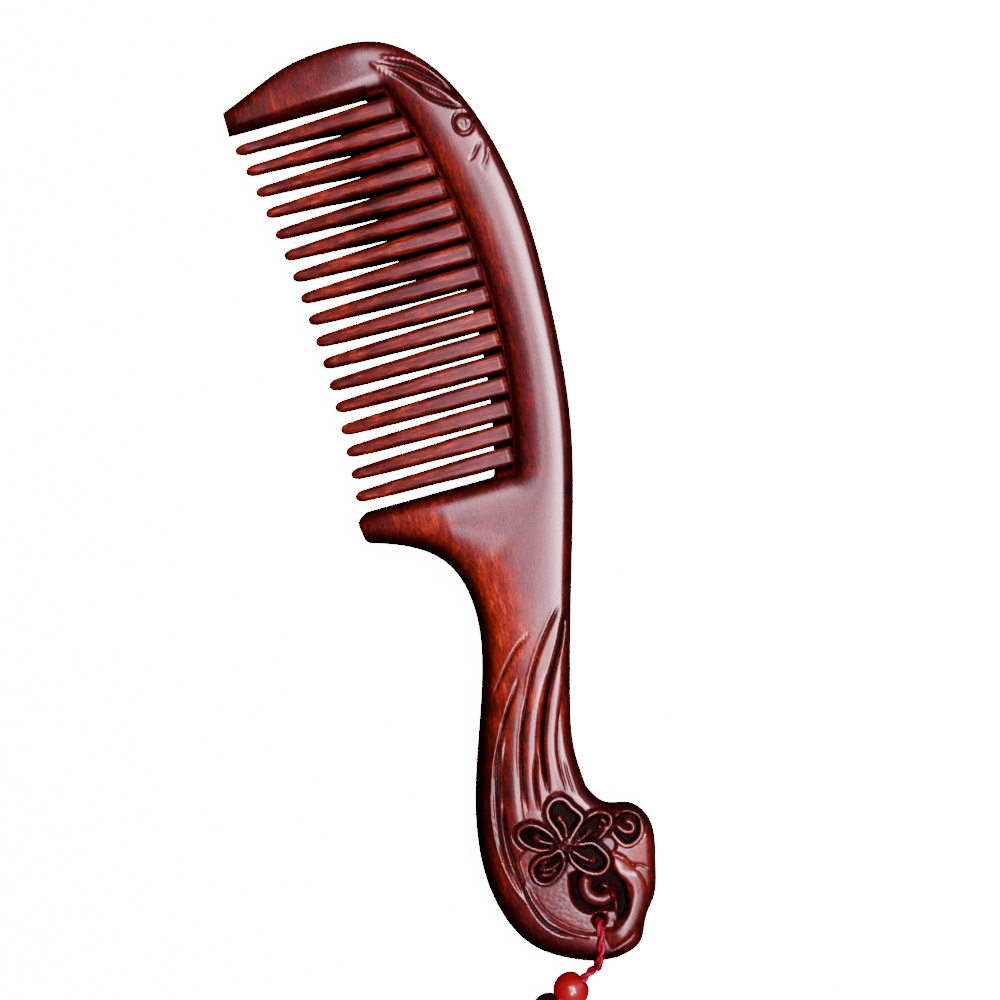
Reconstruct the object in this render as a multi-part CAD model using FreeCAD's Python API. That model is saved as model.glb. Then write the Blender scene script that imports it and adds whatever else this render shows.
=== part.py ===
# Decorative hair comb: a carved wooden frame with seventeen teeth let into its spine,
# and a beaded cord that hangs from a hole in the end of the handle.
#
# The comb lies flat on its back. Y runs along the comb, from the handle's end (-Y) to the
# head (+Y). The teeth point towards -X. Z is the thickness, and the back lies on z = 0.
# The origin is on the back, under the middle of the comb. All sizes are in millimetres.
import FreeCAD, Part
import math
import os

from FreeCAD import Vector

os.makedirs("parts", exist_ok=True)

# ---------------------------------------------------------------- driving dimensions
comb_length = 190.2             # head to the end of the handle
comb_width = 53.6               # arm tips to the back of the spine
frame_thickness = 12.0          # spine and neck
edge_round = 3.2                # rounding of the frame's outer edges
arm_tip_thickness = 5.0
handle_end_thickness = 7.2
field_thickness = 6.4           # wood left between the sunk fields of the two carved faces

tooth_count = 17
tooth_width = 3.1               # across one tooth, along the row
tooth_tip_width = 2.3           # where the tip starts to round off
tip_round = 2.4                 # length of the rounded tip
tip_steps = 4
tip_sweep = 75.0                # degrees of the tip's rounding
tooth_corner = 0.42             # a tooth's corner radius, as a share of its smaller side
tooth_root_thickness = 7.6
tooth_tip_thickness = 3.4
side_gap = 1.65                 # clear gap between an arm and the tooth beside it
slot_depth = 4.0                # how far a tooth is let into the spine
slot_clearance = 0.05           # on each side of a tooth in its slot; its end meets the slot's end
ledge_step = 0.2                # the spine's ledge stands this far above the faces of the teeth
nose_thickness = 3.4            # edge of the spine between two teeth

hole_diameter = 3.0             # hanging hole
rim_width = 8.6                 # from the hole's centre to the handle's end, along the cord
strand_diameter = 0.95          # one strand of the cord
cord_diameter = 1.9             # two strands twisted together
cord_gap = 0.35                 # between the cord and the wood that it goes round
strand_gap = 0.09               # between the two strands of the loop
hole_clearance = 0.11           # between the loop and the wall of the hole
loop_end_gap = 0.2              # between the loop and the cord that hangs from it
tail_past_rim = 0.15            # how far past the rim the tails turn towards the pendant
loop_bends = (1.0, 1.1, 1.1, 1.3)   # the loop's radii, as a share of the strand's diameter
bight_rise = 0.2                # the loop's bight is this far above the middle of the wood
pivot_to_red_bead = 7.4
red_bead_diameter = 7.3
red_bead_length = 6.0
dark_bead_diameter = 7.0
dark_bead_length = 5.6
bore_clearance = 0.2            # between the cord and a bead's bore
bead_gap = 0.25                 # between the ends of two beads
knot_diameter = 3.6

mid_z = frame_thickness / 2
spare = 1.0                     # how far a cutting solid reaches past what it cuts


# ---------------------------------------------------------------- helpers
def write(name, shape):
    shape.exportStep("parts/" + name + ".step")
    print(name, "valid", shape.isValid(), "solids", len(shape.Solids), "volume %.2f" % shape.Volume)


def line(start, end):
    return Part.LineSegment(start, end).toShape()


def raised(edges, bottom, top):
    """A closed outline on z = 0, given as edges in order, raised from bottom to top."""
    face = Part.Face(Part.Wire(edges))
    face.translate(Vector(0, 0, bottom))
    return face.extrude(Vector(0, 0, top - bottom))


def mirrored(shape):
    """The same shape on the other face of the comb."""
    return shape.mirror(Vector(0, 0, mid_z), Vector(0, 0, 1))


# ---------------------------------------------------------------- the frame's outline
# The outline is drawn at its usual size and stretched to comb_length and comb_width.
drawn_length = 190.2
drawn_width = 53.6


def place(x, y):
    """A point of the drawn outline, on the real comb."""
    return Vector(x * comb_width / drawn_width, y * comb_length / drawn_length, 0)


def curve_through(points):
    spline = Part.BSplineCurve()
    spline.interpolate([place(x, y) for x, y in points])
    return spline.toShape()


arm_tip_outer = place(-26.7, 88.5)
arm_tip_inner = place(-26.7, 83.6)
bed_top = place(5.6, 83.6)
bed_apex = place(14.9, 41.0)
bed_bottom = place(10.2, 4.1)
lower_arm_shoulder = place(-20.3, 4.1)
lower_arm_corner = place(-22.5, 2.7)
lower_arm_tip = place(-21.9, -2.0)
cord_edge = (0.55, -94.75)      # where the cord goes round the end of the handle

head_and_back = [(-26.7, 88.5), (-20.9, 90.8), (-12.3, 94.0), (-3.0, 95.1), (6.9, 93.9), (13.9, 89.1),
                 (19.5, 81.1), (24.1, 68.3), (26.5, 53.0), (26.5, 36.3), (23.7, 9.1), (17.7, -13.3),
                 (9.3, -42.1), (7.2, -53.0), (7.5, -60.4)]
notch_to_end = [(7.5, -60.4), (10.3, -64.5), (15.2, -66.1), (17.8, -69.6), (16.9, -78.5), (14.7, -85.2),
                (12.2, -88.6), (9.6, -93.3), (4.5, -95.1)]
end_to_arm = [(4.5, -95.1), cord_edge, (-3.7, -93.3), (-11.2, -88.5), (-15.9, -79.0), (-16.7, -69.0),
              (-13.5, -53.3), (-6.9, -34.1), (-4.6, -21.3), (-7.6, -10.0), (-13.3, -5.3), (-21.9, -2.0)]


def bed_line(offset):
    """The line where the teeth meet the spine's face, from head to handle, moved by offset towards them."""
    start, middle, end = [Vector(p.x - offset, p.y, 0) for p in (bed_top, bed_apex, bed_bottom)]
    return Part.Arc(start, middle, end).toShape()


def outline():
    bed = bed_line(slot_depth)
    return [curve_through(head_and_back), curve_through(notch_to_end), curve_through(end_to_arm),
            line(lower_arm_tip, lower_arm_corner), line(lower_arm_corner, lower_arm_shoulder),
            line(lower_arm_shoulder, bed.Vertexes[1].Point), bed,
            line(bed.Vertexes[0].Point, arm_tip_inner), line(arm_tip_inner, arm_tip_outer)]


def bed_x(y):
    """Where the bed line is at this y."""
    across = line(Vector(-comb_width, y, 0), Vector(comb_width, y, 0))
    return bed_line(0).distToShape(across)[1][0][0].x


# ---------------------------------------------------------------- the frame
taper_start = place(0, -58).y
taper_end = place(0, -95.1).y


def face_z(y):
    """Height of the frame's front face at this y: the handle gets thinner towards its end."""
    share = max(0.0, (taper_start - y) / (taper_start - taper_end))
    return frame_thickness - share * (frame_thickness - handle_end_thickness) / 2


def thinning_wedge(start, direction, reach, cut, width_before, width_after):
    """A wedge that thins the front face from nothing at start to cut at reach, along direction."""
    side = Vector(-direction.y, direction.x, 0)
    top = start + Vector(0, 0, frame_thickness)
    far = top + direction * (reach + spare)
    sunk = far - Vector(0, 0, cut * (reach + spare) / reach)
    corners = [top, far + Vector(0, 0, spare), sunk]
    face = Part.Face(Part.makePolygon(corners + [top]))
    face.translate(side * -width_before)
    return face.extrude(side * (width_before + width_after))


def arm_wedges():
    """The arms get thinner towards their tips. The wedges reach past an arm on each side."""
    cut = (frame_thickness - arm_tip_thickness) / 2
    arm_side = comb_length / 8
    neck_side_width = comb_length / 3
    head_start = place(2.0, 83.6)
    head = thinning_wedge(head_start, Vector(-1, 0, 0), head_start.x - arm_tip_outer.x, cut,
                          arm_side, spare)
    neck_side = place(-4.6, -21.0)
    bed_side = place(4.2, 4.1)
    along = (bed_side - neck_side).normalize()
    away = Vector(-along.y, along.x, 0)
    reach = (lower_arm_corner - neck_side).dot(away)
    lower = thinning_wedge(neck_side, away, reach, cut, arm_side, neck_side_width)
    return [head, lower]


def handle_wedge():
    cut = (frame_thickness - handle_end_thickness) / 2
    return thinning_wedge(Vector(0, taper_start, 0), Vector(0, -1, 0), taper_start - taper_end, cut,
                          comb_width, comb_width)


def ledge_cut():
    """Takes the spine's edge down to the height of the teeth, between the two arms."""
    ledge_z = mid_z + tooth_root_thickness / 2 + ledge_step
    front = bed_line(slot_depth + spare)
    back = bed_line(0)
    edges = [front, line(front.Vertexes[1].Point, back.Vertexes[1].Point), back,
             line(back.Vertexes[0].Point, front.Vertexes[0].Point)]
    return raised(edges, ledge_z, frame_thickness + spare)


def sunk_field():
    """The field of the carving, between the flower and the rim at the handle's end."""
    points = [(-8.4, -72.0), (-8.0, -81.0), (-4.0, -87.2), (0.6, -89.6), (6.5, -86.0), (8.4, -79.5),
              (0.0, -76.0)]
    spline = Part.BSplineCurve()
    spline.interpolate([place(x, y) for x, y in points], True)
    return raised([spline.toShape()], mid_z + field_thickness / 2, frame_thickness + spare)


loop_angle = math.radians(-105.8)          # the way the cord leaves the hole, from +X
loop_way = Vector(math.cos(loop_angle), math.sin(loop_angle), 0)
loop_side = Vector(-loop_way.y, loop_way.x, 0)
hole_centre = place(*cord_edge) - loop_way * rim_width


def on_edge(edge, shape):
    middle = edge.valueAt((edge.FirstParameter + edge.LastParameter) / 2)
    return shape.distToShape(Part.Vertex(middle))[0] < 1e-4


def tooth_lines():
    """The y of each tooth's middle line, from head to handle."""
    first = bed_top.y - side_gap - tooth_width / 2
    last = bed_bottom.y + side_gap + tooth_width / 2
    pitch = (first - last) / (tooth_count - 1)
    return [first - i * pitch for i in range(tooth_count)]


def comb_frame():
    board = raised(outline(), 0, frame_thickness)
    rounded = []
    for points in (head_and_back, notch_to_end, end_to_arm):
        for height in (0, frame_thickness):
            rim = curve_through(points)
            rim.translate(Vector(0, 0, height))
            rounded += [edge for edge in board.Edges if on_edge(edge, rim)]
    board = board.makeFillet(edge_round, rounded)

    for cut in [ledge_cut(), handle_wedge(), sunk_field()] + arm_wedges():
        board = board.cut(cut).cut(mirrored(cut))

    ledge_thickness = tooth_root_thickness + 2 * ledge_step
    nose = bed_line(slot_depth)
    noses = []
    for height in (mid_z - ledge_thickness / 2, mid_z + ledge_thickness / 2):
        line_at = nose.copy()
        line_at.translate(Vector(0, 0, height))
        noses += [edge for edge in board.Edges if on_edge(edge, line_at)]
    board = board.makeChamfer((ledge_thickness - nose_thickness) / 2, noses)

    slot_width = tooth_width + 2 * slot_clearance
    slot_cut = slot_depth + spare
    for y in tooth_lines():
        corner = Vector(bed_x(y) - slot_cut, y - slot_width / 2, -spare)
        board = board.cut(Part.makeBox(slot_cut, slot_width, frame_thickness + 2 * spare, corner))
    hole_bottom = hole_centre - Vector(0, 0, spare)
    hole = Part.makeCylinder(hole_diameter / 2, frame_thickness + 2 * spare, hole_bottom)
    return board.cut(hole)


# ---------------------------------------------------------------- the teeth
tip_apex = place(-20.7, 28.0)
tip_line_radius = 250.0


def tip_x(y):
    """The tips lie on a long arc."""
    return tip_apex.x - tip_line_radius + math.sqrt(tip_line_radius ** 2 - (y - tip_apex.y) ** 2)


def tooth_section(x, y, width, thickness):
    """A rounded rectangle across a tooth, at this x."""
    radius = tooth_corner * min(width, thickness)
    half_w = width / 2
    half_t = thickness / 2
    turn = radius * (1 - math.sqrt(0.5))
    edges = []
    for side_y, side_z in ((1, 1), (-1, 1), (-1, -1), (1, -1)):
        flat_y = Vector(x, y + side_y * (half_w - radius), mid_z + side_z * half_t)
        corner = Vector(x, y + side_y * (half_w - turn), mid_z + side_z * (half_t - turn))
        flat_z = Vector(x, y + side_y * half_w, mid_z + side_z * (half_t - radius))
        points = (flat_z, corner, flat_y) if side_y == side_z else (flat_y, corner, flat_z)
        if edges:
            edges.append(line(edges[-1].Vertexes[-1].Point, points[0]))
        edges.append(Part.Arc(*points).toShape())
    edges.append(line(edges[-1].Vertexes[-1].Point, edges[0].Vertexes[0].Point))
    return Part.Wire(edges)


def tooth(y):
    """One tooth: a tongue that fills its slot, and a blade that thins to a rounded tip."""
    mouth = bed_x(y) - slot_depth
    tip = tip_x(y)
    tip_start = tip + tip_round
    middle = (mouth + tip_start) / 2
    middle_width = (2 * tooth_width + tooth_tip_width) / 3
    middle_thickness = (tooth_root_thickness + tooth_tip_thickness) / 2
    sections = [tooth_section(mouth, y, tooth_width, tooth_root_thickness),
                tooth_section(middle, y, middle_width, middle_thickness)]
    for step in range(tip_steps + 1):
        angle = math.radians(tip_sweep * step / tip_steps)
        x = tip_start - tip_round * math.sin(angle) / math.sin(math.radians(tip_sweep))
        share = math.cos(angle)
        sections.append(tooth_section(x, y, tooth_tip_width * share, tooth_tip_thickness * share))
    blade = Part.makeLoft(sections, True, True)
    tongue = Part.makeBox(slot_depth, tooth_width, tooth_root_thickness,
                          Vector(mouth, y - tooth_width / 2, mid_z - tooth_root_thickness / 2))
    return blade.fuse(tongue)


# ---------------------------------------------------------------- the cord
def along_loop(s, t, z):
    """A point by the hole: s from its centre towards the handle's end, t across, z up."""
    return hole_centre + loop_way * s + loop_side * t + Vector(0, 0, z)


def rounded_path(points, radii=None):
    """Straight runs joined by tangent arcs, and the arcs' radii. A radius is 0.45 of the shorter run
    over the tangent of half the turn, unless radii gives the radius of what the cord goes round."""
    edges = []
    start = points[0]
    used = []
    for i in range(1, len(points) - 1):
        before = points[i] - points[i - 1]
        after = points[i + 1] - points[i]
        half_turn = before.getAngle(after) / 2
        radius = 0.45 * min(before.Length, after.Length) / math.tan(half_turn)
        if radii and radii[i]:
            radius = radii[i]
        back = radius * math.tan(half_turn)
        came = Vector(before).normalize()
        goes = Vector(after).normalize()
        first = points[i] - came * back
        last = points[i] + goes * back
        inward = (goes - came).normalize()
        middle = points[i] + inward * (radius / math.cos(half_turn) - radius)
        edges.append(line(start, first))
        edges.append(Part.Arc(first, middle, last).toShape())
        used.append(radius)
        start = last
    edges.append(line(start, points[-1]))
    return Part.Wire(edges), used


def tube(name, path, diameter):
    """A round tube along a path, with its volume compared with its section times its length."""
    first = path.Edges[0]
    start = first.FirstParameter
    circle = Part.Circle(first.valueAt(start), first.tangentAt(start), diameter / 2)
    shape = path.makePipeShell([Part.Wire(circle.toShape())], True, True)
    expected = math.pi * diameter ** 2 / 4 * path.Length
    print(name, "length %.2f" % path.Length)
    print(name, "volume over section times length %.4f" % (shape.Volume / expected))
    return shape


pivot_past_rim = 1.4                       # from the handle's end to where the cord bends
pivot = along_loop(rim_width + pivot_past_rim, 0, red_bead_diameter / 2)


def hanging_loop():
    """The cord's doubled strand: up through the hole, over the rim and round the tails under it."""
    off_wood = cord_gap + strand_diameter / 2
    half_pair = (strand_diameter + strand_gap) / 2
    hole_room = hole_diameter / 2 - strand_diameter / 2 - hole_clearance
    in_hole = math.sqrt(hole_room ** 2 - half_pair ** 2)
    edge_y = along_loop(rim_width, 0, 0).y
    front_at_hole = face_z(hole_centre.y) + off_wood
    front_at_edge = face_z(edge_y) + off_wood
    back_at_hole = frame_thickness - front_at_hole
    back_at_edge = frame_thickness - front_at_edge
    tail_corner = along_loop(rim_width + tail_past_rim, 0, back_at_edge)
    tail_way = (pivot - tail_corner).normalize()
    tail_end = pivot - tail_way * (cord_diameter / 2 + loop_end_gap)
    bight_z = mid_z + bight_rise
    outside = rim_width + off_wood

    def strand(side):
        shift = loop_side * (side * half_pair)
        return [tail_end + shift, tail_corner + shift,
                along_loop(in_hole, side * half_pair, back_at_hole),
                along_loop(in_hole, side * half_pair, front_at_hole),
                along_loop(outside, side * half_pair, front_at_edge),
                along_loop(outside, side * half_pair, bight_z)]

    radii = [None] + [strand_diameter * share for share in loop_bends] + [None]
    left, left_radii = rounded_path(strand(1), radii)
    right, right_radii = rounded_path(strand(-1), radii)
    bight = Part.Arc(along_loop(outside, half_pair, bight_z),
                     along_loop(outside, 0, bight_z - half_pair),
                     along_loop(outside, -half_pair, bight_z)).toShape()
    print("hanging_loop radii", ["%.2f" % r for r in left_radii + [half_pair] + right_radii])
    path = Part.Wire(left.Edges + [bight] + list(reversed(right.Edges)))
    return tube("hanging_loop", path, strand_diameter)


# The beaded cord's own route from the pivot: along the pendant, to its left, and height.
# The beads hold it off the ground as far as the last one, and its knot lies on the ground.
pendant_angle = math.radians(-152.5)
pendant_way = Vector(math.cos(pendant_angle), math.sin(pendant_angle), 0)
pendant_side = Vector(-pendant_way.y, pendant_way.x, 0)
cord_route = [(0.0, 0.0, 3.65), (17.0, 0.0, 3.65), (21.0, 1.8, 3.65), (23.8, 5.6, 3.65), (25.2, 13.0, 3.6),
              (25.6, 17.6, 2.3), (25.4, 21.6, 1.8)]
cord_points = [Vector(pivot.x, pivot.y, 0) + pendant_way * u + pendant_side * w + Vector(0, 0, z)
               for u, w, z in cord_route]
red_bead_centre = cord_points[0] + pendant_way * pivot_to_red_bead
dark_bead_step = (red_bead_length + dark_bead_length) / 2 + bead_gap
dark_bead_1_centre = red_bead_centre + pendant_way * dark_bead_step
dark_bead_2_centre = (cord_points[3] + cord_points[4]) / 2
dark_bead_2_way = (cord_points[4] - cord_points[3]).normalize()


def pendant_cord():
    """Two strands twisted together. The end at the pivot is a half ball, so that it can turn there."""
    path, radii = rounded_path(cord_points)
    print("pendant_cord radii", ["%.2f" % r for r in radii])
    cord = tube("pendant_cord", path, cord_diameter)
    return cord.fuse(Part.makeSphere(cord_diameter / 2, cord_points[0]))


def bead(centre, way, diameter, length):
    """A round bead with flat ends, bored along the cord."""
    radius = diameter / 2
    bore = cord_diameter / 2 + bore_clearance
    end = length / 2
    end_radius = math.sqrt(radius ** 2 - end ** 2)
    up = way.cross(Vector(0, 0, 1)).cross(way).normalize()
    bottom_in = centre - way * end + up * bore
    bottom_out = centre - way * end + up * end_radius
    top_out = centre + way * end + up * end_radius
    top_in = centre + way * end + up * bore
    outside = Part.Arc(bottom_out, centre + up * radius, top_out).toShape()
    profile = Part.Wire([line(bottom_in, bottom_out), outside, line(top_out, top_in), line(top_in, bottom_in)])
    return Part.Face(profile).revolve(centre, way, 360)


def end_knot(cord):
    """A round knot drawn up on the end of the cord."""
    return Part.makeSphere(knot_diameter / 2, cord_points[-1]).cut(cord)


# ---------------------------------------------------------------- the pieces
write("comb_frame", comb_frame())
for number, tooth_y in enumerate(tooth_lines(), start=1):
    write("tooth_%02d" % number, tooth(tooth_y))
write("hanging_loop", hanging_loop())
beaded_cord = pendant_cord()
write("pendant_cord", beaded_cord)
write("red_bead", bead(red_bead_centre, pendant_way, red_bead_diameter, red_bead_length))
write("dark_bead_1", bead(dark_bead_1_centre, pendant_way, dark_bead_diameter, dark_bead_length))
write("dark_bead_2", bead(dark_bead_2_centre, dark_bead_2_way, dark_bead_diameter, dark_bead_length))
write("end_knot", end_knot(beaded_cord))
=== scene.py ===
"""A carved wooden hair comb with a beaded red cord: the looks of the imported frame.

The frame is carved as a height field over the comb's outline. Lengths are millimetres
where the shapes are drawn. The teeth point to -X, the head is +Y, and Z is up.
"""

import math

import bmesh
import bpy
import numpy as np
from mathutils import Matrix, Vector


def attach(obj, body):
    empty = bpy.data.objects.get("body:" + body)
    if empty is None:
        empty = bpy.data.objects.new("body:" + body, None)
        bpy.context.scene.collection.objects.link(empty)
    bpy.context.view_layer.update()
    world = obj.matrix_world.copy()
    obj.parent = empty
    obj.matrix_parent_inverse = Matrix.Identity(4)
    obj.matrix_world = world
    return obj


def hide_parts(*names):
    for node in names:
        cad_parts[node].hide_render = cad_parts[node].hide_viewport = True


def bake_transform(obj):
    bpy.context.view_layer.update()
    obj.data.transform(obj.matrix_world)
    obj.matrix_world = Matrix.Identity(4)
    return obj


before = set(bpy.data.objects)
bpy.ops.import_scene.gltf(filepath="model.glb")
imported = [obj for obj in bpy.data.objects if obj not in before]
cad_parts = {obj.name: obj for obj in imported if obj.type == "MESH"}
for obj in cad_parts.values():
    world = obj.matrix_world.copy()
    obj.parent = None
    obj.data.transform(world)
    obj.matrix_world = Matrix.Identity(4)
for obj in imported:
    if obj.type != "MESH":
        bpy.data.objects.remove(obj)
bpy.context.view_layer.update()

MM = 0.001
MID = 6.0  # height of the comb's middle plane


# -------- curves and distances
def smooth_line(points, spacing=0.4):
    """Points about spacing apart on a cubic spline through the given ones."""
    p = np.array(points, float)
    gaps = np.linalg.norm(np.diff(p, axis=0), axis=1)
    t = np.concatenate([[0.0], np.cumsum(gaps)])
    s = np.linspace(0, t[-1], max(3, int(t[-1] / spacing) + 1))
    if len(p) == 2:
        return p[0] + (p[1] - p[0]) * (s / t[-1])[:, None]
    n = len(p)
    a = np.zeros((n, n))
    b = np.zeros((n, p.shape[1]))
    a[0, 0] = a[-1, -1] = 1
    for i in range(1, n - 1):
        a[i, i - 1:i + 2] = gaps[i - 1], 2 * (gaps[i - 1] + gaps[i]), gaps[i]
        b[i] = 6 * ((p[i + 1] - p[i]) / gaps[i] - (p[i] - p[i - 1]) / gaps[i - 1])
    m = np.linalg.solve(a, b)
    k = np.clip(np.searchsorted(t, s, side="right") - 1, 0, n - 2)
    u = (s - t[k])[:, None]
    g = gaps[k][:, None]
    return (m[k] * (g - u) ** 3 + m[k + 1] * u ** 3) / (6 * g) \
        + (p[k] / g - m[k] * g / 6) * (g - u) + (p[k + 1] / g - m[k + 1] * g / 6) * u


def to_line(x, y, line):
    """Distance to an open line, its signed side (+ on the left), how far along (0 to 1), nearest point."""
    best = np.full(x.shape, 1e9)
    near_x = np.zeros(x.shape)
    near_y = np.zeros(x.shape)
    side = np.ones(x.shape)
    along = np.zeros(x.shape)
    steps = np.linalg.norm(np.diff(line, axis=0), axis=1)
    total = steps.sum()
    done = 0.0
    for (ax, ay), (bx, by), step in zip(line[:-1], line[1:], steps):
        dx, dy = bx - ax, by - ay
        s = np.clip(((x - ax) * dx + (y - ay) * dy) / (step * step), 0, 1)
        qx, qy = ax + s * dx, ay + s * dy
        d2 = (x - qx) ** 2 + (y - qy) ** 2
        closer = d2 < best
        best = np.where(closer, d2, best)
        near_x = np.where(closer, qx, near_x)
        near_y = np.where(closer, qy, near_y)
        side = np.where(closer, np.sign(dx * (y - ay) - dy * (x - ax)), side)
        along = np.where(closer, (done + s * step) / total, along)
        done += step
    return np.sqrt(best), side, along, near_x, near_y


def inside(x, y, ring):
    """Whether each point is inside a closed ring."""
    result = np.zeros(x.shape, bool)
    for (ax, ay), (bx, by) in zip(ring, np.roll(ring, -1, axis=0)):
        if ay == by:
            continue
        crosses = (ay > y) != (by > y)
        result ^= crosses & (x < (bx - ax) * (y - ay) / (by - ay) + ax)
    return result


def smooth_step(value, low, high):
    t = np.clip((value - low) / (high - low), 0, 1)
    return t * t * (3 - 2 * t)


def soft_min(a, b, reach):
    """The smaller of two heights, with the crease between them rounded off over reach."""
    h = np.clip(0.5 + 0.5 * (b - a) / reach, 0, 1)
    return b * (1 - h) + a * h - reach * h * (1 - h)


# -------- the frame's outline
ROW_LOW, ROW_TOP = 4.1, 83.6  # the row of teeth lies between these two y
NOSE = 4.0  # the spine's thin edge stands this far in front of the teeth's root line
LIP = 0.4  # a narrow flat along the teeth's root line

arm_tip_outer, arm_tip_inner = (-26.7, 88.5), (-26.7, ROW_TOP)
back_points = [arm_tip_outer, (-20.9, 90.8), (-12.3, 94.0), (-3.0, 95.1), (6.9, 93.9), (13.9, 89.1),
               (19.5, 81.1), (24.1, 68.3), (26.5, 53.0), (26.5, 36.3), (23.7, 9.1), (17.7, -13.3),
               (9.3, -42.1), (7.2, -53.0), (7.5, -60.4)]
notch_points = [(7.5, -60.4), (10.3, -64.5), (15.2, -66.1), (17.8, -69.6), (16.9, -78.5), (14.7, -85.2),
                (12.2, -88.6), (9.6, -93.3), (4.5, -95.1)]
end_points = [(4.5, -95.1), (0.55, -94.75), (-3.7, -93.3), (-11.2, -88.5), (-15.9, -79.0), (-16.7, -69.0),
              (-13.5, -53.3), (-6.9, -34.1), (-4.6, -21.3), (-7.6, -10.0), (-13.3, -5.3), (-21.9, -2.0)]
lower_tip = [(-21.9, -2.0), (-22.5, 2.7), (-20.3, ROW_LOW)]


def circle_through(a, b, c):
    """Centre and radius of the circle through three points."""
    (ax, ay), (bx, by), (cx, cy) = a, b, c
    d = 2 * (ax * (by - cy) + bx * (cy - ay) + cx * (ay - by))
    aa, bb, cc = ax ** 2 + ay ** 2, bx ** 2 + by ** 2, cx ** 2 + cy ** 2
    ux = (aa * (by - cy) + bb * (cy - ay) + cc * (ay - by)) / d
    uy = (aa * (cx - bx) + bb * (ax - cx) + cc * (bx - ax)) / d
    return ux, uy, math.hypot(ax - ux, ay - uy)


bed_x0, bed_y0, bed_r = circle_through((5.6, ROW_TOP), (14.9, 41.0), (10.2, ROW_LOW))


def bed_x(y):
    """Where the teeth's root line is at this y."""
    return bed_x0 + np.sqrt(bed_r ** 2 - (y - bed_y0) ** 2)


right_chain = np.vstack([smooth_line(back_points, 0.8), smooth_line(notch_points, 0.5)[1:]])
left_chain = smooth_line(end_points, 0.6)
nose_chain = np.array([(bed_x(y) - NOSE, y) for y in np.linspace(ROW_LOW, ROW_TOP, 100)])
corner_chain = smooth_line(lower_tip[1:], 0.8)
lower_arm_chain = np.vstack([corner_chain, smooth_line([lower_tip[2], nose_chain[0]], 1.0)[1:]])
upper_arm_chain = smooth_line([nose_chain[-1], arm_tip_inner], 1.0)
bed_chain = np.vstack([smooth_line(lower_tip[:2], 0.8), lower_arm_chain[1:], nose_chain[1:],
                       upper_arm_chain[1:]])
tip_chain = smooth_line([arm_tip_inner, arm_tip_outer], 0.8)
ring = np.vstack([right_chain[:-1], left_chain[:-1], bed_chain[:-1], tip_chain[:-1]])


# -------- the plain board
EDGE = 1.5  # the outer grid lines crowd towards the edge within this distance
WALL = 0.12  # half height of the board at its very edge
HALF_THICKNESS = 6.0
END_THINNING, TIP_THINNING = 2.4, 3.4  # what the handle's end and the two tips lose on each face
SECTION_POWER = 2.35  # 2 would make the board's section an ellipse
EDGE_ROUNDING = 2.6
BACK_ROUNDING, BED_ROUNDING = 4.6, 6.0  # how far in the back's and the bed's rounding may reach
FOOT, FOOT_STEP = 4.05, 0.35  # the spine's face at the teeth's root line, and its small step up
CROWN, CROWN_REACH = 1.95, 8.0  # the spine's rise from there to its full height
NOSE_HALF, NOSE_RISE = 1.7, 1.2  # the ramp between the teeth, from the thin edge to the root line
CREASE = 0.9  # rounding where the crown meets the board's own section


def smooth_ramp(value, low, high):
    """Straight from 0 at low to 1 at high, eased at its start."""
    t = np.clip((value - low) / (high - low), 0, 1)
    return t * t / (t + 0.08) * 1.08


def half_thickness(x, y):
    """Half of the board's thickness before its section is rounded."""
    end = smooth_ramp(-y, 58.0, 95.1)
    head = smooth_ramp(-x, -3.0, 26.7) * smooth_step(y, 74, 80)
    lower = smooth_ramp(-4.6 - x, 0.0, 17.9) * smooth_step(y, -24, -10) * smooth_step(-y, -12, -6)
    return HALF_THICKNESS - END_THINNING * end - TIP_THINNING * np.maximum(head, lower)


def section_from(near, across):
    """The board's rounded section at a distance from an edge, where the board is that wide."""
    t = np.clip(1 - 2 * near / np.maximum(across, 1e-6), 0, 1)
    return (1 - t ** SECTION_POWER) ** (1 / SECTION_POWER)


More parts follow.
